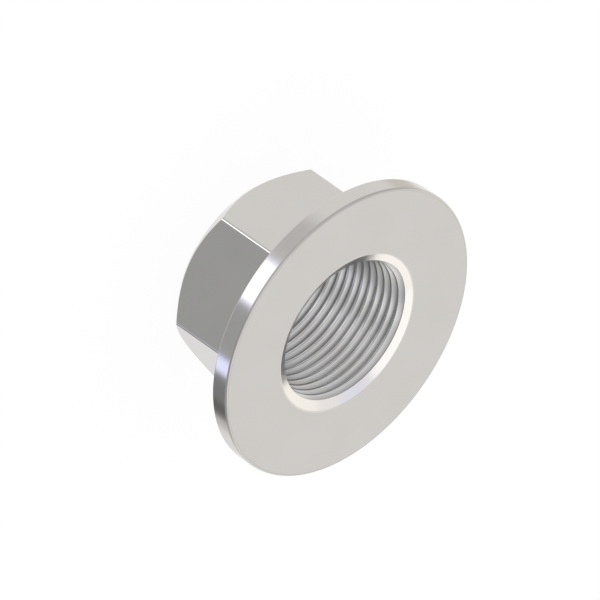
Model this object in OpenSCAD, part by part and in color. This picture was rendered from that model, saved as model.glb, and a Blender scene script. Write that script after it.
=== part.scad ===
// Hex flange nut, made as one piece: a broad plain flange, a hexagon and a fine threaded bore.
// It stands on the end of its hexagon, with its bearing face on top and its bore along Z.
// The hexagon has two corners on the X axis. Its two mouths are countersunk alike.

/* [Height] */
// Height from the end of the hexagon to the bearing face
nut_height = 20.5; // [14:0.5:30]

/* [Hexagon] */
// Distance across the wrench flats
across_flats = 30; // [28:0.5:36]
// Depth turned off each corner of the hexagon, so that its edges are not sharp
corner_turning = 0.08; // [0.04:0.02:0.3]
// Diameter of the flat land at the end of the hexagon
end_land_d = 28.7; // [27.6:0.1:29.8]
// Slope of the cone that cuts the corners back, measured from the end face
end_chamfer_angle = 44; // [20:1:55]

/* [Flange] */
// Diameter of the flange
flange_d = 47.2; // [43:0.2:60]
// Thickness of the flange at its rim
flange_t = 3; // [1.5:0.1:6]
// Radius of the edge between the rim and the bearing face
face_edge_r = 0.4; // [0.1:0.05:0.7]
// Radius of the edge between the rim and the back of the flange
back_edge_r = 0.2; // [0.1:0.05:0.7]

/* [Thread] */
// Nominal diameter of the thread
thread_d = 24; // [20:1:25]
// Pitch of the thread
thread_pitch = 1.5; // [1:0.25:2]
// Diameter of the countersink where it opens into a face
countersink_d = 26; // [25.4:0.1:27.2]
// Included angle of the countersink
countersink_angle = 120; // [90:5:130]

/* [Hidden] */

// Segments of a full turn, and of the small round edges
$fn = 144;
edge_segments = 32;
// How far a cutting shape runs past what it cuts
overcut = 0.5;

// A hexagon has six sides, and its corners lie on a circle a little wider than its flats
hexagon_sides = 6;
across_corners = across_flats / cos(180 / hexagon_sides);

// Height of the flange's back, where the hexagon meets it
flange_back_z = nut_height - flange_t;

// The cone starts at the end land and meets the turned corners this far up the hexagon
turned_r = across_corners / 2 - corner_turning;
end_chamfer_h = (turned_r - end_land_d / 2) * tan(end_chamfer_angle);

// The bore is the thread's minor cylinder: five eighths of the sharp height off each side
sharp_thread_h = thread_pitch * sqrt(3) / 2;
minor_d = thread_d - 2 * 5 / 8 * sharp_thread_h;
countersink_h = (countersink_d - minor_d) / 2 / tan(countersink_angle / 2);

// What lies outside the rounding of an outer corner at the origin, with the shape below and left of it
module corner_waste(r) {
    difference() {
        translate([-r, -r])
            square([r + overcut, r + overcut]);
        translate([-r, -r])
            circle(r, $fn = edge_segments);
    }
}

// Half section of the flange, from the axis to the rim
module flange_section() {
    difference() {
        translate([0, flange_back_z])
            square([flange_d / 2, flange_t]);
        translate([flange_d / 2, nut_height])
            corner_waste(face_edge_r);
        translate([flange_d / 2, flange_back_z])
            mirror([0, 1])
                corner_waste(back_edge_r);
    }
}

module flange() {
    rotate_extrude()
        flange_section();
}

// Half section of the turned blank that the hexagon is cut from: an end land, a cone and a cylinder
module turned_section() {
    polygon([
        [0, 0],
        [end_land_d / 2, 0],
        [turned_r, end_chamfer_h],
        [turned_r, nut_height - flange_t / 2],
        [0, nut_height - flange_t / 2],
    ]);
}

// The wrench hexagon. The cone leaves a curved edge on each flat, as a turned chamfer does.
module hexagon() {
    intersection() {
        cylinder(h = nut_height, d = across_corners, $fn = hexagon_sides);
        rotate_extrude()
            turned_section();
    }
}

// Half section of the hole: the minor cylinder, opened by a cone at each mouth
module bore_section() {
    polygon([
        [0, -overcut],
        [countersink_d / 2, -overcut],
        [countersink_d / 2, 0],
        [minor_d / 2, countersink_h],
        [minor_d / 2, nut_height - countersink_h],
        [countersink_d / 2, nut_height],
        [countersink_d / 2, nut_height + overcut],
        [0, nut_height + overcut],
    ]);
}

module threaded_bore() {
    rotate_extrude()
        bore_section();
}

module flange_nut() {
    color([0.80, 0.79, 0.77])
        difference() {
            union() {
                flange();
                hexagon();
            }
            threaded_bore();
        }
}

flange_nut();
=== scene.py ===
"""The looks of a hex flange nut: its machined steel body with the turns of its thread, and a plain studio.

Everything is in metres, in the frame of the CAD part: the nut stands on the end of its hexagon, its bearing
face is on top and its bore runs along Z. Two corners of the hexagon lie on X.
"""

import itertools
import logging
import math
from dataclasses import dataclass
from enum import Enum

import bmesh
import bpy
from mathutils import Matrix, Vector


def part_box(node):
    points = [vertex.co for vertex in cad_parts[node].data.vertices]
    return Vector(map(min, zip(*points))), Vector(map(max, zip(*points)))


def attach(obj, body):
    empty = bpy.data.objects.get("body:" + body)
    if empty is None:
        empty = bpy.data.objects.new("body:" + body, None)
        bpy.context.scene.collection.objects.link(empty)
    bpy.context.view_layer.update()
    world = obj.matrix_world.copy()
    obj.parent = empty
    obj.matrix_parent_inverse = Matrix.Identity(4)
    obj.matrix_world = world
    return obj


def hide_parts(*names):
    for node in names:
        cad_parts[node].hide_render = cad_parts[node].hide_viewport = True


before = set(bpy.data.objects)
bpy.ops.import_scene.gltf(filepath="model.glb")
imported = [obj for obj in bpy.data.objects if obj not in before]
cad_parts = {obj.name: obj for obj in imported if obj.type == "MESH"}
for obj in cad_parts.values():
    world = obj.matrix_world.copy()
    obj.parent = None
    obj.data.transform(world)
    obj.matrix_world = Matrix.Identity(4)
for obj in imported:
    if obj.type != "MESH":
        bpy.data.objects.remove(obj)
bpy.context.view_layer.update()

NODE = "flange_nut"
MM = 0.001
WHITE = (1.0, 1.0, 1.0)
HEXAGON_SIDES = 6
LOG = logging.getLogger("flange_nut")


class Cut(Enum):
    """What a tool body does to the body it meets."""

    ADD = "UNION"
    REMOVE = "DIFFERENCE"
    KEEP = "INTERSECT"


class Mouth(Enum):
    """The two ends of the bore, and which way each one looks along Z."""

    HEXAGON_END = -1
    BEARING_FACE = 1


class Zone(Enum):
    """The surfaces of the nut, by the tool that cut them."""

    TURNED = "turned: face, rim, cones and lands"
    MILLED = "milled: the six flats"
    THREAD = "tapped: the thread"
    EDGE = "filed: the rounded edge of the bearing face"
    MOUTH = "cut: the countersinks"


class Lay(Enum):
    """The way in which the fine marks of the tool run over a surface."""

    TURNED = "round the axis"
    DRAWN = "along the axis"


class Value:
    """A number socket that takes part in Python arithmetic: each operation adds its Math node."""

    def __init__(self, graph: "Graph", socket: bpy.types.NodeSocket) -> None:
        """Keeps the socket and the graph that holds it."""
        self.graph = graph
        self.socket = socket

    def maths(self, operation: str, *others: "Value | float") -> "Value":
        """Adds one Math node with this value first.

        Args:
            operation: the Math node's operation.
            others: the second and third values.

        Returns:
            The node's result.
        """
        return self.graph.maths(operation, self, *others)

    def __add__(self, other: "Value | float") -> "Value":
        """This value plus another."""
        return self.maths("ADD", other)

    def __radd__(self, other: float) -> "Value":
        """A number plus this value."""
        return self.graph.maths("ADD", other, self)

    def __sub__(self, other: "Value | float") -> "Value":
        """This value less another."""
        return self.maths("SUBTRACT", other)

    def __rsub__(self, other: float) -> "Value":
        """A number less this value."""
        return self.graph.maths("SUBTRACT", other, self)

    def __mul__(self, other: "Value | float") -> "Value":
        """This value times another."""
        return self.maths("MULTIPLY", other)

    def __rmul__(self, other: float) -> "Value":
        """A number times this value."""
        return self.graph.maths("MULTIPLY", other, self)

    def __truediv__(self, other: "Value | float") -> "Value":
        """This value divided by another."""
        return self.maths("DIVIDE", other)

    def __abs__(self) -> "Value":
        """This value without its sign."""
        return self.maths("ABSOLUTE")

    def fade(self, low: float, high: float) -> "Value":
        """A smooth step of this value.

        Args:
            low: where the step is 0.
            high: where the step is 1. It may lie below low, and the step then falls.

        Returns:
            A value from 0 to 1.
        """
        node = self.graph.node(
            "ShaderNodeMapRange",
            {"interpolation_type": "SMOOTHSTEP"},
            {"Value": self, "From Min": low, "From Max": high},
        )
        return Value(self.graph, node.outputs["Result"])


class Graph:
    """The nodes of one material or of the world."""

    # Numbers of the Mix node's colour sockets, whose names it uses for other kinds too
    FIRST_COLOUR, SECOND_COLOUR, MIXED_COLOUR = 6, 7, 2

    def __init__(self, tree: bpy.types.NodeTree) -> None:
        """Empties the tree."""
        self.tree = tree
        tree.nodes.clear()

    def put(self, socket: bpy.types.NodeSocket, value: object) -> None:
        """Links a value or a socket to an input, or sets the input's own value.

        Args:
            socket: the input that is fed.
            value: a Value, a socket, or a plain number, colour or vector.
        """
        if isinstance(value, Value):
            self.tree.links.new(value.socket, socket)
        elif isinstance(value, bpy.types.NodeSocket):
            self.tree.links.new(value, socket)
        else:
            socket.default_value = value

    def node(self, kind: str, settings: dict | None = None, inputs: dict | None = None) -> bpy.types.Node:
        """Adds one node.

        Args:
            kind: the node's type.
            settings: its own settings, which are set first.
            inputs: the values or links of its sockets, by name or by number.

        Returns:
            The new node.
        """
        node = self.tree.nodes.new(kind)
        for name, setting in (settings or {}).items():
            setattr(node, name, setting)
        for key, value in (inputs or {}).items():
            self.put(node.inputs[key], value)
        return node

    def maths(self, operation: str, *values: "Value | float") -> Value:
        """Adds one Math node.

        Args:
            operation: the node's operation.
            values: its one, two or three values.

        Returns:
            The node's result.
        """
        node = self.node("ShaderNodeMath", {"operation": operation}, dict(enumerate(values)))
        return Value(self, node.outputs[0])

    def parts(self, vector: bpy.types.NodeSocket) -> tuple[Value, Value, Value]:
        """Splits a vector into its three numbers."""
        node = self.node("ShaderNodeSeparateXYZ", {}, {"Vector": vector})
        return tuple(Value(self, output) for output in node.outputs)

    def dot(self, vector: bpy.types.NodeSocket, direction: Vector) -> Value:
        """How far a vector runs along a fixed direction.

        Args:
            vector: the vector socket.
            direction: the fixed direction.

        Returns:
            Their dot product.
        """
        inputs = dict(enumerate((vector, direction)))
        node = self.node("ShaderNodeVectorMath", {"operation": "DOT_PRODUCT"}, inputs)
        return Value(self, node.outputs["Value"])

    def noise(self, place: bpy.types.NodeSocket, scale: float, octaves: float, grit: float) -> Value:
        """Adds a noise in space.

        Args:
            place: the position at which the noise is read.
            scale: how many cells there are to the unit.
            octaves: how many finer layers are added.
            grit: how strong each finer layer is.

        Returns:
            The noise, from 0 to 1.
        """
        inputs = {"Vector": place, "Scale": scale, "Detail": octaves, "Roughness": grit}
        node = self.node("ShaderNodeTexNoise", {"noise_dimensions": "3D"}, inputs)
        return Value(self, node.outputs[0])

    def blend(self, share: "Value | float", first: object, second: object) -> bpy.types.NodeSocket:
        """Mixes two colours.

        Args:
            share: 0 gives the first colour and 1 the second.
            first: a colour or a colour socket.
            second: a colour or a colour socket.

        Returns:
            The mixed colour's socket.
        """
        inputs = {"Factor": share, self.FIRST_COLOUR: first, self.SECOND_COLOUR: second}
        node = self.node("ShaderNodeMix", {"data_type": "RGBA"}, inputs)
        return node.outputs[self.MIXED_COLOUR]


def opaque(colour: tuple[float, float, float]) -> tuple[float, float, float, float]:
    """A colour with full alpha."""
    return (*colour, 1.0)


@dataclass(frozen=True)
class SteelFinish:
    """Bare machined steel, with the fine marks that its tool left.

    Attributes:
        name: the material's name.
        lay: the way in which the marks run.
        tint: colour of the steel.
        worn_tint: its colour where it has been handled.
        roughness: its mean roughness.
        roughness_swing: how far marks and handling together move the roughness.
        swing_centre: the product of marks and clouds that leaves the roughness as it is.
        mark_pitch: size of the marks across their run.
        mark_run: size of the marks along their run.
        mark_depth: depth of the marks.
        mark_octaves: how many finer layers the marks have.
        mark_grit: how strong each finer layer of the marks is.
        cloud_size: size of the handled patches.
        cloud_octaves: how many finer layers the patches have.
        cloud_grit: how strong each finer layer of the patches is.
        cloud_range: levels of the noise at which a patch begins and is full.
    """

    name: str
    lay: Lay
    tint: tuple[float, float, float] = (0.603, 0.583, 0.558)
    worn_tint: tuple[float, float, float] = (0.616, 0.596, 0.572)
    roughness: float = 0.16
    roughness_swing: float = 0.04
    swing_centre: float = 0.25
    mark_pitch: float = 0.16 * MM
    mark_run: float = 6.0 * MM
    mark_depth: float = 0.0004 * MM
    mark_octaves: float = 3.0
    mark_grit: float = 0.6
    cloud_size: float = 7.0 * MM
    cloud_octaves: float = 4.0
    cloud_grit: float = 0.55
    cloud_range: tuple[float, float] = (0.3, 0.7)

    def material(self) -> bpy.types.Material:
        """Makes the finish.

        Returns:
            The new material.
        """
        material = bpy.data.materials.new(self.name)
        material.use_nodes = True
        graph = Graph(material.node_tree)
        place = graph.node("ShaderNodeTexCoord").outputs["Object"]
        marks = self._marks(graph, place)
        clouds = self._clouds(graph, place)
        relief = {"Strength": 1.0, "Distance": self.mark_depth, "Height": marks}
        bump = graph.node("ShaderNodeBump", {}, relief)
        swing = self.roughness_swing * (marks * clouds - self.swing_centre)
        shader = graph.node(
            "ShaderNodeBsdfPrincipled",
            {},
            {
                "Base Color": self._colour(graph, place, clouds),
                "Metallic": 1.0,
                "Roughness": self.roughness + swing,
                "Normal": bump.outputs["Normal"],
            },
        )
        graph.node("ShaderNodeOutputMaterial", {}, {"Surface": shader.outputs["BSDF"]})
        return material

    def _colour(self, graph: Graph, place: bpy.types.NodeSocket, clouds: Value) -> bpy.types.NodeSocket:
        """Colours the bare steel.

        Args:
            graph: the material's graph.
            place: the position on the nut. Not used here.
            clouds: how handled the steel is, from 0 to 1.

        Returns:
            The colour's socket.
        """
        return graph.blend(clouds, opaque(self.tint), opaque(self.worn_tint))

    def _marks(self, graph: Graph, place: bpy.types.NodeSocket) -> Value:
        """Draws the tool's marks: fine lines of uneven width that run round the axis or along it.

        Args:
            graph: the material's graph.
            place: the position on the nut.

        Returns:
            The height of the marks, from 0 to 1.
        """
        x, y, z = graph.parts(place)
        radius = (x * x + y * y).maths("SQRT")
        if self.lay is Lay.TURNED:
            lines = (radius / self.mark_pitch, z / self.mark_pitch, radius / self.mark_run)
        else:
            lines = (x / self.mark_pitch, y / self.mark_pitch, z / self.mark_run)
        across = graph.node("ShaderNodeCombineXYZ", {}, dict(enumerate(lines)))
        return graph.noise(across.outputs[0], 1.0, self.mark_octaves, self.mark_grit)

    def _clouds(self, graph: Graph, place: bpy.types.NodeSocket) -> Value:
        """Draws the broad, faint unevenness that handling leaves on bare steel.

        Args:
            graph: the material's graph.
            place: the position on the nut.

        Returns:
            The clouds, from 0 to 1.
        """
        clouds = graph.noise(place, 1.0 / self.cloud_size, self.cloud_octaves, self.cloud_grit)
        return clouds.fade(*self.cloud_range)


@dataclass(frozen=True)
class ThreadFinishAndRootShade(SteelFinish):
    """Steel as the thread tap leaves it, duller than the rest, with painted shade that darkens it towards the
    roots.

    Attributes:
        root_shade_tint: colour of the painted shade at the roots.
        crest_r: radius at which the painted shade begins.
        root_r: radius at which the painted shade is full.
    """

    tint: tuple[float, float, float] = (0.65, 0.65, 0.65)
    worn_tint: tuple[float, float, float] = (0.66, 0.66, 0.66)
    root_shade_tint: tuple[float, float, float] = (0.47, 0.47, 0.475)
    roughness: float = 0.28
    crest_r: float = 11.19 * MM
    root_r: float = 11.85 * MM

    def _colour(self, graph: Graph, place: bpy.types.NodeSocket, clouds: Value) -> bpy.types.NodeSocket:
        """Colours the crests as bare steel and paints shade into the roots.

        Args:
            graph: the material's graph.
            place: the position on the nut.
            clouds: how handled the steel is, from 0 to 1.

        Returns:
            The colour's socket.
        """
        x, y, _ = graph.parts(place)
        # Painted shade: the steel darkens from the crests to the roots, where shade falls in the thread.
        depth = (x * x + y * y).maths("SQRT").fade(self.crest_r, self.root_r)
        return graph.blend(depth, super()._colour(graph, place, clouds), opaque(self.root_shade_tint))


@dataclass(frozen=True)
class ShadedEdgeFinish(SteelFinish):
    """Steel under the file, on the edge of the bearing face: a little duller, with a darker tint that is
    painted shade on the rounding.
    """

    # Painted shade: this darker tint dims what the rounded edge mirrors.
    tint: tuple[float, float, float] = (0.5, 0.485, 0.465)
    worn_tint: tuple[float, float, float] = (0.51, 0.495, 0.475)
    roughness: float = 0.2


@dataclass(frozen=True)
class CountersinkHighlightFinish(SteelFinish):
    """Steel in the countersinks, with a lighter tint than the rest: a painted highlight that makes the cones
    mirror the lamps brighter.
    """

    # Painted highlight: this lighter tint brightens what the countersinks mirror.
    tint: tuple[float, float, float] = (0.74, 0.715, 0.687)
    worn_tint: tuple[float, float, float] = (0.752, 0.728, 0.7)


def body_object(name: str, bm: bmesh.types.BMesh) -> bpy.types.Object:
    """Turns a bmesh into an object at the origin and frees the bmesh.

    Args:
        name: the object's name.
        bm: the shape, in the frame.

    Returns:
        The new object.
    """
    bmesh.ops.recalc_face_normals(bm, faces=bm.faces)
    mesh = bpy.data.meshes.new(name)
    bm.to_mesh(mesh)
    bm.free()
    body = bpy.data.objects.new(name, mesh)
    bpy.context.scene.collection.objects.link(body)
    return body


def machine(body: bpy.types.Object, tool: bpy.types.Object, cut: Cut) -> None:
    """Joins, cuts or trims a body with a tool body, and throws the tool away.

    Args:
        body: the body, whose mesh is replaced by the result.
        tool: the closed body that meets it.
        cut: what the tool does.
    """
    modifier = body.modifiers.new("machining", "BOOLEAN")
    modifier.operation = cut.value
    modifier.object = tool
    modifier.solver = "EXACT"
    evaluated = body.evaluated_get(bpy.context.evaluated_depsgraph_get())
    result = bpy.data.meshes.new_from_object(evaluated)
    body.modifiers.remove(modifier)
    spent = (body.data, tool.data)
    body.data = result
    bpy.data.objects.remove(tool)
    for mesh in spent:
        bpy.data.meshes.remove(mesh)


def prism(radius: float, bottom: float, top: float, sides: int, turn: float = 0.0) -> bmesh.types.BMesh:
    """Makes a closed upright prism about the Z axis.

    Args:
        radius: radius over its corners.
        bottom: height of its lower face.
        top: height of its upper face.
        sides: how many sides it has.
        turn: angle by which it is turned about Z. At 0, a corner lies on +Y.

    Returns:
        The prism.
    """
    bm = bmesh.new()
    bmesh.ops.create_cone(
        bm,
        cap_ends=True,
        segments=sides,
        radius1=radius,
        radius2=radius,
        depth=top - bottom,
        matrix=Matrix.Translation((0, 0, (top + bottom) / 2)) @ Matrix.Rotation(turn, 4, "Z"),
    )
    return bm


def round_edges(bm: bmesh.types.BMesh, edges: list[bmesh.types.BMEdge], offset: float, steps: int) -> None:
    """Rounds edges with an arc.

    Args:
        bm: the shape.
        edges: the edges.
        offset: how far the arc starts from the edge, along each face.
        steps: faces across the arc.
    """
    bmesh.ops.bevel(
        bm,
        geom=edges,
        offset=offset,
        offset_type="OFFSET",
        segments=steps,
        profile=0.5,
        affect="EDGES",
        material=-1,
    )


@dataclass
class FlangeNut:
    """The nut, turned and milled from one piece: flange, chamfered hexagon and threaded bore.

    Attributes:
        low: lowest corner of the CAD part.
        high: its highest corner.
        across_flats: wrench size.
        corner_round: radius of the hexagon's corners.
        end_land_d: diameter of the flat land at the hexagon's end.
        end_chamfer_deg: angle between the end cone and the end face.
        flange_t: thickness of the flange.
        face_edge_r: rounding between the rim and the bearing face.
        back_edge_r: rounding between the rim and the flange's back.
        edge_break: rounding at the end land, along each side.
        thread_d: nominal diameter of the thread.
        thread_pitch: its pitch.
        thread_depth: its depth, from crest to root.
        thread_flank_deg: angle between a flank and the axis.
        thread_crest_r: rounding at each side of a crest.
        thread_crest_flat: width of the flat on a crest.
        thread_turn_deg: angle by which the thread is turned about the axis.
        countersink_d: diameter of a countersink at its face.
        countersink_deg: included angle of a countersink.
        mouth_break: rounding between an end face and its countersink, along each side.
        overcut: how far a cutter reaches past what it cuts.
        spare_turns: whole turns of the thread that start below its lower end and are cut off again.
        round_steps: faces round the flange, the end cone and the countersinks.
        thread_steps: faces round one turn of the thread.
        thread_arc_steps: faces across the rounding of a crest or a root.
        edge_steps: faces across the rounding of the rim and the hexagon's corners.
        mouth_steps: faces across the rounding of a mouth.
        land_steps: faces across the rounding of the end land.
        slack: how far a corner may lie from the edge that it is taken to be on.
        cone_slack: how far a corner may lie from the countersink that it is taken to be on.
        plane_slack: how far a corner may lie from a cut and still count as on it.
        rim_slack: how far a corner may lie from the cut whose rim it is taken to be on.
        turn_weld: distance over which two turns of the thread are welded.
        weld: distance over which the finished body is welded.
        level: rise of a face's normal below which the face counts as upright.
        slant: how far a face's normal may differ from its countersink's.
        smooth_deg: angle between two faces from which their edge is sharp.
    """

    low: Vector
    high: Vector
    across_flats: float = 30.0 * MM
    corner_round: float = 0.52 * MM
    end_land_d: float = 28.7 * MM
    end_chamfer_deg: float = 44.0
    flange_t: float = 3.0 * MM
    face_edge_r: float = 0.4 * MM
    back_edge_r: float = 0.2 * MM
    edge_break: float = 0.05 * MM
    thread_d: float = 24.0 * MM
    thread_pitch: float = 1.5 * MM
    thread_depth: float = 0.7 * MM
    thread_flank_deg: float = 51.0
    thread_crest_r: float = 0.16 * MM
    thread_crest_flat: float = 0.12 * MM
    thread_turn_deg: float = 150.0
    countersink_d: float = 26.0 * MM
    countersink_deg: float = 120.0
    mouth_break: float = 0.18 * MM
    overcut: float = 0.6 * MM
    spare_turns: int = 2
    round_steps: int = 240
    thread_steps: int = 144
    thread_arc_steps: int = 6
    edge_steps: int = 8
    mouth_steps: int = 5
    land_steps: int = 2
    slack: float = 0.005 * MM
    cone_slack: float = 0.01 * MM
    plane_slack: float = 0.000001 * MM
    rim_slack: float = 0.0001 * MM
    turn_weld: float = 0.0015 * MM
    weld: float = 0.0005 * MM
    level: float = 0.01
    slant: float = 0.03
    smooth_deg: float = 24.0

    @property
    def height(self) -> float:
        """Height from the end of the hexagon to the bearing face."""
        return self.high.z - self.low.z

    @property
    def flange_r(self) -> float:
        """Radius of the flange: the widest round that stays inside the CAD box, whose own rim has facets."""
        return min(self.high.x, self.high.y, -self.low.x, -self.low.y)

    @property
    def minor_r(self) -> float:
        """Radius of the crests: five eighths of the thread's sharp height inside the nominal radius."""
        return self.thread_d / 2 - 5 / 8 * self.thread_pitch * math.sqrt(3) / 2

    def build(self) -> bpy.types.Object:
        """Builds the nut as one closed body.

        Returns:
            The nut's object, not yet dressed.
        """
        nut = self._flange()
        machine(nut, self._hexagon(), Cut.ADD)
        for mouth in Mouth:
            machine(nut, self._countersink(mouth), Cut.REMOVE)
            self._break_mouth_edge(nut, mouth)
        machine(nut, self._thread_core(), Cut.REMOVE)
        self._clean(nut)
        return nut

    def _disc(self, radius: float, bottom: float, top: float) -> bmesh.types.BMesh:
        """Makes a round disc about the Z axis, from one height to another."""
        return prism(radius, bottom, top, self.round_steps)

    def _round_rim(self, bm: bmesh.types.BMesh, height: float, radius: float) -> None:
        """Rounds the edge loop of a disc that lies at a height.

        Args:
            bm: the disc.
            height: height of the loop.
            radius: radius of the rounding.
        """
        loop = [e for e in bm.edges if all(abs(v.co.z - height) < self.slack for v in e.verts)]
        round_edges(bm, loop, radius, self.edge_steps)

    def _flange(self) -> bpy.types.Object:
        """Makes the flange with its two rounded rim edges.

        Returns:
            The flange's body.
        """
        back = self.high.z - self.flange_t
        bm = self._disc(self.flange_r, back, self.high.z)
        self._round_rim(bm, self.high.z, self.face_edge_r)
        self._round_rim(bm, back, self.back_edge_r)
        return body_object(NODE + "_steel", bm)

    def _hexagon(self) -> bpy.types.Object:
        """Makes the hexagon with rounded corners, trimmed by the turned cone at its end.

        Returns:
            The hexagon's body, which reaches up into the flange.
        """
        top = self.high.z - self.flange_t / 2
        half_corner = math.pi / HEXAGON_SIDES
        corner_r = self.across_flats / 2 / math.cos(half_corner)
        bm = prism(corner_r, self.low.z, top, HEXAGON_SIDES, math.pi / 2)
        corners = [e for e in bm.edges if abs(e.verts[0].co.z - e.verts[1].co.z) > self.flange_t]
        round_edges(bm, corners, self.corner_round * math.tan(half_corner), self.edge_steps)
        hexagon = body_object("hexagon", bm)
        machine(hexagon, self._turned_blank(corner_r, top), Cut.KEEP)
        return hexagon

    def _turned_blank(self, corner_r: float, top: float) -> bpy.types.Object:
        """Makes the turned blank whose cone cuts the hexagon's corners back.

        Args:
            corner_r: radius over the hexagon's corners.
            top: height at which the hexagon ends.

        Returns:
            The blank: a disc a little wider than the hexagon, with the cone at its lower end.
        """
        blank_r = corner_r + self.overcut
        land_r = self.end_land_d / 2
        rise = math.tan(math.radians(self.end_chamfer_deg))
        bm = self._disc(land_r, self.low.z, top + self.overcut)
        upper = [v for v in bm.verts if v.co.z > self.low.z + self.overcut]
        lower = [f for f in bm.faces if all(v.co.z < self.low.z + self.overcut for v in f.verts)]
        bmesh.ops.scale(bm, vec=(blank_r / land_r, blank_r / land_r, 1), verts=upper)
        bmesh.ops.delete(bm, geom=lower, context="FACES_ONLY")
        skirt = [e for e in bm.edges if e.is_boundary]
        ring = bmesh.ops.extrude_edge_only(bm, edges=skirt)["geom"]
        land = [v for v in ring if isinstance(v, bmesh.types.BMVert)]
        for vert in {v for e in skirt for v in e.verts}:
            vert.co.z = self.low.z + (blank_r - land_r) * rise
            vert.co.xy = vert.co.xy.normalized() * blank_r
        bmesh.ops.contextual_create(bm, geom=[e for e in bm.edges if e.is_boundary])
        edge = [e for e in bm.edges if all(v in land for v in e.verts)]
        round_edges(bm, edge, self.edge_break, self.land_steps)
        return body_object("turned_blank", bm)

    def _countersink(self, mouth: Mouth) -> bpy.types.Object:
        """Makes the cutter that opens one mouth of the bore.

        Args:
            mouth: which end of the bore it opens.

        Returns:
            The cutter: a cone that ends in a short cylinder outside the nut.
        """
        way = mouth.value
        face = self._face_height(mouth)
        wide = self.countersink_d / 2
        narrow = self.minor_r - self.overcut
        depth = (wide - narrow) / math.tan(math.radians(self.countersink_deg / 2))
        bottom, top = sorted((face - way * depth, face + way * self.overcut))
        bm = self._disc(narrow, bottom, top)
        outer = [v for v in bm.verts if way * (v.co.z - face) > 0]
        cap = [f for f in bm.faces if all(v in outer for v in f.verts)]
        for vert in outer:
            vert.co.xy = vert.co.xy.normalized() * wide
            vert.co.z = face
        moved = bmesh.ops.extrude_face_region(bm, geom=cap)["geom"]
        bmesh.ops.delete(bm, geom=cap, context="FACES_ONLY")
        lip = [v for v in moved if isinstance(v, bmesh.types.BMVert)]
        bmesh.ops.translate(bm, verts=lip, vec=(0, 0, way * self.overcut))
        return body_object("countersink", bm)

    def _break_mouth_edge(self, nut: bpy.types.Object, mouth: Mouth) -> None:
        """Rounds the edge between an end face and its countersink.

        Args:
            nut: the nut, before its thread is cut.
            mouth: the end of the bore.
        """
        bm = bmesh.new()
        bm.from_mesh(nut.data)
        lip = Vector((self.countersink_d / 2, self._face_height(mouth)))
        ring = {v for v in bm.verts if (Vector((v.co.xy.length, v.co.z)) - lip).length < self.slack}
        edge = [e for e in bm.edges if all(v in ring for v in e.verts)]
        round_edges(bm, edge, self.mouth_break, self.mouth_steps)
        bm.to_mesh(nut.data)
        bm.free()

    def _face_height(self, mouth: Mouth) -> float:
        """Height of the end face that a mouth opens in."""
        return self.high.z if mouth is Mouth.BEARING_FACE else self.low.z

    def _thread_core(self) -> bpy.types.Object:
        """Makes the threaded plug that the bore is the print of.

        The section of one pitch is swept along one right-hand turn, the turn is stacked and welded, and the
        plug is cut level and capped outside both faces.

        Returns:
            The closed plug.
        """
        bm = bmesh.new()
        section = self._thread_section(bm)
        bmesh.ops.spin(
            bm,
            geom=section,
            cent=(0, 0, 0),
            axis=(0, 0, 1),
            dvec=(0, 0, self.thread_pitch / self.thread_steps),
            angle=2 * math.pi,
            steps=self.thread_steps,
            use_duplicate=False,
        )
        run = self.height + 2 * self.overcut + (self.spare_turns + 1) * self.thread_pitch
        turn = bm.verts[:] + bm.edges[:] + bm.faces[:]
        for i in range(1, math.ceil(run / self.thread_pitch)):
            copies = bmesh.ops.duplicate(bm, geom=turn)["geom"]
            raised = [v for v in copies if isinstance(v, bmesh.types.BMVert)]
            bmesh.ops.translate(bm, verts=raised, vec=(0, 0, i * self.thread_pitch))
        bmesh.ops.remove_doubles(bm, verts=bm.verts, dist=self.turn_weld)
        for mouth in Mouth:
            height = self._face_height(mouth) + mouth.value * self.overcut
            bmesh.ops.bisect_plane(
                bm,
                geom=bm.verts[:] + bm.edges[:] + bm.faces[:],
                dist=self.plane_slack,
                plane_co=(0, 0, height),
                plane_no=(0, 0, mouth.value),
                clear_outer=True,
            )
            open_edges = [e for e in bm.edges if e.is_boundary]
            rim = [e for e in open_edges if all(abs(v.co.z - height) < self.rim_slack for v in e.verts)]
            bmesh.ops.contextual_create(bm, geom=rim)
        turned = Matrix.Rotation(math.radians(self.thread_turn_deg), 3, "Z")
        bmesh.ops.rotate(bm, cent=(0, 0, 0), matrix=turned, verts=bm.verts)
        return body_object("thread_core", bm)

    def _thread_section(self, bm: bmesh.types.BMesh) -> list:
        """Draws one pitch of the thread in the XZ plane, from crest to crest, just under the lower mouth.

        The crest is a flat on the minor radius with a rounded corner at each side, and an arc rounds the root.
        The root's arc is as large as leaves room for straight flanks at the given depth.

        Args:
            bm: the bmesh that takes the section.

        Returns:
            The section's vertices and edges.
        """
        start = self.low.z - self.overcut - self.spare_turns * self.thread_pitch
        flank = math.radians(self.thread_flank_deg)
        half_flat = self.thread_crest_flat / 2
        sharp_depth = (self.thread_pitch / 2 - half_flat) * math.tan(flank)
        shortening = 1 / math.cos(flank) - 1
        root_r = (sharp_depth - self.thread_depth) / shortening - self.thread_crest_r
        end = start + self.thread_pitch
        first = [bm.verts.new((self.minor_r, 0, start))]
        crest = self._arc(bm, self.minor_r, start + half_flat, -self.thread_crest_r, 0.0, flank)
        root = self._arc(bm, self.minor_r + self.thread_depth, (start + end) / 2, root_r, -flank, flank)
        next_crest = self._arc(bm, self.minor_r, end - half_flat, -self.thread_crest_r, -flank, 0.0)
        last = [bm.verts.new((self.minor_r, 0, end))]
        for before, after in itertools.pairwise((first, crest, root, next_crest, last)):
            bm.edges.new((before[-1], after[0]))
        return bm.verts[:] + bm.edges[:]

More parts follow.
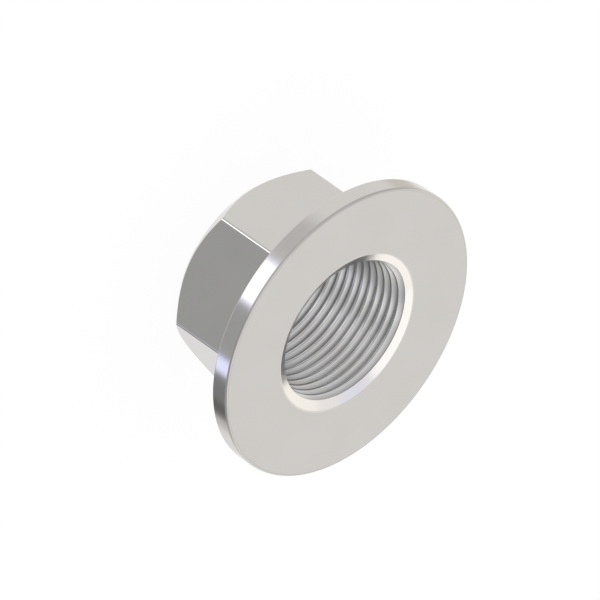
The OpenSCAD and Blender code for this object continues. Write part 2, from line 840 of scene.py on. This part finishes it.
    def _arc(
        self,
        bm: bmesh.types.BMesh,
        tip: float,
        height: float,
        radius: float,
        first: float,
        last: float,
    ) -> list[bmesh.types.BMVert]:
        """Draws the arc that rounds a crest or a root of the thread's section, from below upwards.

        Args:
            bm: the bmesh that takes the arc.
            tip: distance of the arc's tip from the axis.
            height: height of the tip.
            radius: radius of the arc, below 0 where the tip points at the axis.
            first: angle of the arc's lower end, from the tip.
            last: angle of its upper end.

        Returns:
            The arc's vertices.
        """
        verts = []
        for i in range(self.thread_arc_steps + 1):
            turn = first + (last - first) * i / self.thread_arc_steps
            place = (tip - radius * (1 - math.cos(turn)), 0, height + abs(radius) * math.sin(turn))
            verts.append(bm.verts.new(place))
        for before, after in itertools.pairwise(verts):
            bm.edges.new((before, after))
        return verts

    def dress(self, nut: bpy.types.Object) -> None:
        """Gives each face the finish of the tool that cut it, with painted shade in the thread's roots and on
        the filed edge and a painted highlight in the countersinks.

        Args:
            nut: the built nut.
        """
        finishes = {
            Zone.TURNED: SteelFinish("turned_steel", Lay.TURNED),
            Zone.MILLED: SteelFinish("milled_steel", Lay.DRAWN),
            # Painted shade in the thread's roots
            Zone.THREAD: ThreadFinishAndRootShade("thread_steel", Lay.TURNED),
            # Painted shade on the filed edge
            Zone.EDGE: ShadedEdgeFinish("edge_steel_painted_shade", Lay.TURNED),
            # Painted highlight in the countersinks
            Zone.MOUTH: CountersinkHighlightFinish("countersink_steel_painted_highlight", Lay.TURNED),
        }
        nut.data.materials.clear()
        for finish in finishes.values():
            nut.data.materials.append(finish.material())
        order = list(finishes)
        bm = bmesh.new()
        bm.from_mesh(nut.data)
        for face in bm.faces:
            face.material_index = order.index(self._zone([v.co for v in face.verts], face.normal))
        for edge in bm.edges:
            zones = {order[f.material_index] for f in edge.link_faces}
            edge.smooth = edge.smooth and not (Zone.THREAD in zones and len(zones) > 1)
        bm.to_mesh(nut.data)
        bm.free()
        weighting = nut.modifiers.new("flat_faces", "WEIGHTED_NORMAL")
        weighting.keep_sharp = True

    def _zone(self, places: list[Vector], normal: Vector) -> Zone:
        """Tells which tool cut a face.

        Args:
            places: the face's corners.
            normal: the face's normal.

        Returns:
            The zone that the face lies in.
        """
        if self._on_countersink(places, normal):
            return Zone.MOUTH
        if all(p.xy.length < self.minor_r + self.thread_depth + self.edge_break for p in places):
            return Zone.THREAD
        below_flange = all(p.z < self.high.z - self.flange_t + self.edge_break for p in places)
        if below_flange and abs(normal.z) < self.level:
            return Zone.MILLED
        if self._on_face_edge(places):
            return Zone.EDGE
        return Zone.TURNED

    def _on_face_edge(self, places: list[Vector]) -> bool:
        """Tells whether a face belongs to the rounding between the rim and the bearing face.

        Args:
            places: the face's corners.

        Returns:
            Whether the corners lie as far out and as high up as the rounding does.
        """
        reach = self.face_edge_r + self.slack
        outside = all(p.xy.length > self.flange_r - reach for p in places)
        return outside and all(p.z > self.high.z - reach for p in places)

    def _on_countersink(self, places: list[Vector], normal: Vector) -> bool:
        """Tells whether a face belongs to one of the two cones at the mouths.

        Args:
            places: the face's corners.
            normal: the face's normal.

        Returns:
            Whether the corners lie on a cone and the face slopes as the cone does.
        """
        half = math.radians(self.countersink_deg / 2)
        for place in places:
            depth = min(self.high.z - place.z, place.z - self.low.z)
            cone_depth = (self.countersink_d / 2 - place.xy.length) / math.tan(half)
            if abs(depth - cone_depth) > self.cone_slack:
                return False
        inward = -sum(places, Vector()).xy.normalized()
        leans_in = normal.xy.dot(inward) > math.cos(half) - self.slant
        return leans_in and abs(normal.z) > math.sin(half) - self.slant

    def _clean(self, nut: bpy.types.Object) -> None:
        """Welds the joins that the machining left and marks the edges that are not rounded.

        Args:
            nut: the machined nut.
        """
        bm = bmesh.new()
        bm.from_mesh(nut.data)
        bmesh.ops.remove_doubles(bm, verts=bm.verts, dist=self.weld)
        bmesh.ops.dissolve_degenerate(bm, edges=bm.edges, dist=self.weld)
        bmesh.ops.recalc_face_normals(bm, faces=bm.faces)
        for face in bm.faces:
            face.smooth = True
        for edge in bm.edges:
            edge.smooth = edge.is_manifold and edge.calc_face_angle() < math.radians(self.smooth_deg)
        bm.to_mesh(nut.data)
        LOG.info("open edges: %d", sum(not e.is_manifold for e in bm.edges))
        bm.free()


@dataclass(frozen=True)
class SoftBox:
    """A soft light, or a grey card, that the steel mirrors. It lies far off, in one direction.

    Attributes:
        azimuth: direction of its middle round the Z axis, in degrees from +X.
        elevation: height of its middle over the horizon, in degrees.
        half_width: half its width round the Z axis, in degrees.
        half_height: half its height, in degrees.
        radiance: its colour, where 1 is white and more is a lamp.
        edge: half the width of its soft edge, in degrees.
    """

    azimuth: float
    elevation: float
    half_width: float
    half_height: float
    radiance: tuple[float, float, float]
    edge: float = 3.0

    def mask(self, graph: Graph, ray: bpy.types.NodeSocket) -> Value:
        """Says where the box is seen.

        Args:
            graph: the world's graph.
            ray: the direction of the ray.

        Returns:
            1 inside the box, 0 outside it and a smooth step between.
        """
        turn = math.radians(self.azimuth)
        ahead = graph.dot(ray, Vector((math.cos(turn), math.sin(turn), 0)))
        aside = graph.dot(ray, Vector((-math.sin(turn), math.cos(turn), 0)))
        above = graph.dot(ray, Vector((0, 0, 1)))
        sideways = abs(aside.maths("ARCTAN2", ahead)) * math.degrees(1)
        upwards = abs(above.maths("ARCSINE") * math.degrees(1) - self.elevation)
        across = sideways.fade(self.half_width + self.edge, self.half_width - self.edge)
        return across * upwards.fade(self.half_height + self.edge, self.half_height - self.edge)


@dataclass(frozen=True)
class Studio:
    """The room: an even pale light all round, soft boxes, and a white floor.

    Attributes:
        room: light of the room itself.
        boxes: its soft boxes and cards. Each one covers those before it.
        floor_half: half the width of the floor.
        floor_drop: how far the floor lies under the nut.
        floor_shade: share of the light that the floor sends back.
        floor_glow: light that the floor gives off by itself.
    """

    room: tuple[float, float, float] = WHITE
    boxes: tuple[SoftBox, ...] = (
        # Low cards, which the narrow flat and the far end of the rim mirror
        SoftBox(110, -38, 12, 20, (0.92, 0.92, 0.92), 6),
        SoftBox(171, -38, 13, 20, (0.80, 0.77, 0.71), 6),
        # Broad cards in front, which the thread and the filed edge mirror
        SoftBox(-45, 17, 130, 45, (0.82, 0.81, 0.79), 6),
        SoftBox(18, 8, 42, 34, (0.55, 0.55, 0.55), 6),
        # Dark card, which the broad flat mirrors
        SoftBox(0, -43, 28, 15, (0.48, 0.495, 0.497), 3),
        # Dark and grey cards, which the rest of the rim mirrors
        SoftBox(52, -43, 21, 15, (0.27, 0.28, 0.29), 3),
        SoftBox(62, -43, 6, 15, (0.16, 0.16, 0.155), 2),
        SoftBox(78, -43, 5, 15, (0.75, 0.75, 0.75), 3),
        SoftBox(-80, -43, 22, 15, (0.69, 0.69, 0.69), 10),
        # Lamps with a bluish border, which give the rim its two bright stretches
        SoftBox(-43, -35, 18, 7, (1.06, 1.09, 1.65), 2),
        SoftBox(-43, -35, 16, 5, (2.2, 2.2, 2.25), 1.5),
        SoftBox(25, -35, 6, 6, (1.35, 1.43, 1.95), 2),
        # Lamps overhead and at both sides, which the countersink and the upper thread mirror
        SoftBox(0, 88, 180, 10, (1.32, 1.32, 1.36), 4),
        SoftBox(-25, 76, 62, 8, (1.32, 1.32, 1.36), 4),
        SoftBox(56, 65, 40, 23, (1.32, 1.32, 1.32), 4),
        SoftBox(93, 18, 18, 27, (1.25, 1.23, 1.2), 4),
        SoftBox(163, 18, 21, 30, (1.2, 1.18, 1.13), 6),
        SoftBox(-155, 60, 25, 14, (0.94, 0.96, 1.1), 6),
        SoftBox(-172, 44, 11, 10, (1.05, 1.04, 1.04), 5),
    )
    floor_half: float = 1.0
    floor_drop: float = 0.05 * MM
    floor_shade: float = 0.05
    floor_glow: float = 0.955

    def build(self) -> None:
        """Lights the world and lays the floor."""
        self._light()
        self._floor()

    def _light(self) -> None:
        """Fills the world: white for the camera, the room and its soft boxes for everything else."""
        world = bpy.data.worlds.new("studio")
        world.use_nodes = True
        bpy.context.scene.world = world
        graph = Graph(world.node_tree)
        ray = graph.node("ShaderNodeTexCoord").outputs["Generated"]
        light = opaque(self.room)
        for box in self.boxes:
            light = graph.blend(box.mask(graph, ray), light, opaque(box.radiance))
        seen = Value(graph, graph.node("ShaderNodeLightPath").outputs["Is Camera Ray"])
        shade = graph.blend(seen, light, opaque(WHITE))
        background = graph.node("ShaderNodeBackground", {}, {"Color": shade, "Strength": 1.0})
        graph.node("ShaderNodeOutputWorld", {}, {"Surface": background.outputs[0]})

    def _floor(self) -> None:
        """Lays the white floor, which keeps the nut's soft shadow and is clear from below."""
        bm = bmesh.new()
        lowered = Matrix.Translation((0, 0, -self.floor_drop))
        bmesh.ops.create_grid(bm, x_segments=1, y_segments=1, size=self.floor_half, matrix=lowered)
        floor = body_object("floor", bm)
        material = bpy.data.materials.new("floor_white")
        material.use_nodes = True
        graph = Graph(material.node_tree)
        matt = graph.node("ShaderNodeBsdfDiffuse", {}, {"Color": opaque((self.floor_shade,) * 3)})
        glow = graph.node("ShaderNodeEmission", {}, {"Color": opaque(WHITE), "Strength": self.floor_glow})
        top = graph.node("ShaderNodeAddShader", {}, dict(enumerate((matt.outputs[0], glow.outputs[0]))))
        below = graph.node("ShaderNodeNewGeometry").outputs["Backfacing"]
        clear = graph.node("ShaderNodeBsdfTransparent")
        sides = dict(enumerate((below, top.outputs[0], clear.outputs[0])))
        sheet = graph.node("ShaderNodeMixShader", {}, sides)
        graph.node("ShaderNodeOutputMaterial", {}, {"Surface": sheet.outputs[0]})
        floor.data.materials.append(material)
        floor.visible_glossy = False
        floor.visible_shadow = False


@dataclass(frozen=True)
class PhotoCamera:
    """The parallel camera of the photo: it looks down on the bearing face and is rolled on its own axis.

    Attributes:
        azimuth_deg: how far it stands round from -Y, towards +X.
        elevation_deg: how steeply it looks down.
        roll_deg: how far it is turned about its own axis.
        pixel: size of one pixel of the photo at the nut.
        frame_px: width and height of the photo, in pixels.
        face_centre_px: where the photo shows the centre of the bearing face.
        distance: how far it stands from the bearing face.
        clip_start: distance from which it sees.
        clip_end: distance up to which it sees.
    """

    azimuth_deg: float = 40.59
    elevation_deg: float = 34.75
    roll_deg: float = 125.0
    pixel: float = 0.14423 * MM
    frame_px: float = 600.0
    face_centre_px: tuple[float, float] = (347.3, 332.68)
    distance: float = 0.4
    clip_start: float = 0.004
    clip_end: float = 4.0

    def build(self, face_centre: Vector) -> None:
        """Makes the scene's camera.

        Args:
            face_centre: the centre of the bearing face, which the photo shows at face_centre_px.
        """
        turn, rise = math.radians(self.azimuth_deg), math.radians(self.elevation_deg)
        back = Vector((math.sin(turn) * math.cos(rise), -math.cos(turn) * math.cos(rise), math.sin(rise)))
        upright = (-back).to_track_quat("-Z", "Y").to_matrix()
        facing = upright @ Matrix.Rotation(math.radians(self.roll_deg), 3, "Z")
        right, up = facing.col[0], facing.col[1]
        off_right = (self.frame_px / 2 - self.face_centre_px[0]) * self.pixel
        off_up = (self.face_centre_px[1] - self.frame_px / 2) * self.pixel
        data = bpy.data.cameras.new("photo_camera")
        data.type = "ORTHO"
        data.ortho_scale = self.frame_px * self.pixel
        data.clip_start = self.clip_start
        data.clip_end = self.clip_end
        place = face_centre + right * off_right + up * off_up + back * self.distance
        camera = bpy.data.objects.new("photo_camera", data)
        camera.matrix_world = Matrix.LocRotScale(place, facing.to_quaternion(), None)
        bpy.context.scene.collection.objects.link(camera)
        bpy.context.scene.camera = camera


def main() -> None:
    """Builds the nut, the studio and the camera, and logs how many faces the nut has."""
    logging.basicConfig(level=logging.INFO, format="%(name)s: %(message)s")
    low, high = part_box(NODE)
    nut = FlangeNut(low, high)
    body = nut.build()
    nut.dress(body)
    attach(body, "root")
    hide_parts(NODE)
    LOG.info("%s: %d faces", body.name, len(body.data.polygons))
    Studio().build()
    PhotoCamera().build(Vector((0, 0, high.z)))
    bpy.context.scene.view_settings.view_transform = "Standard"


if __name__ == "__main__":
    main()
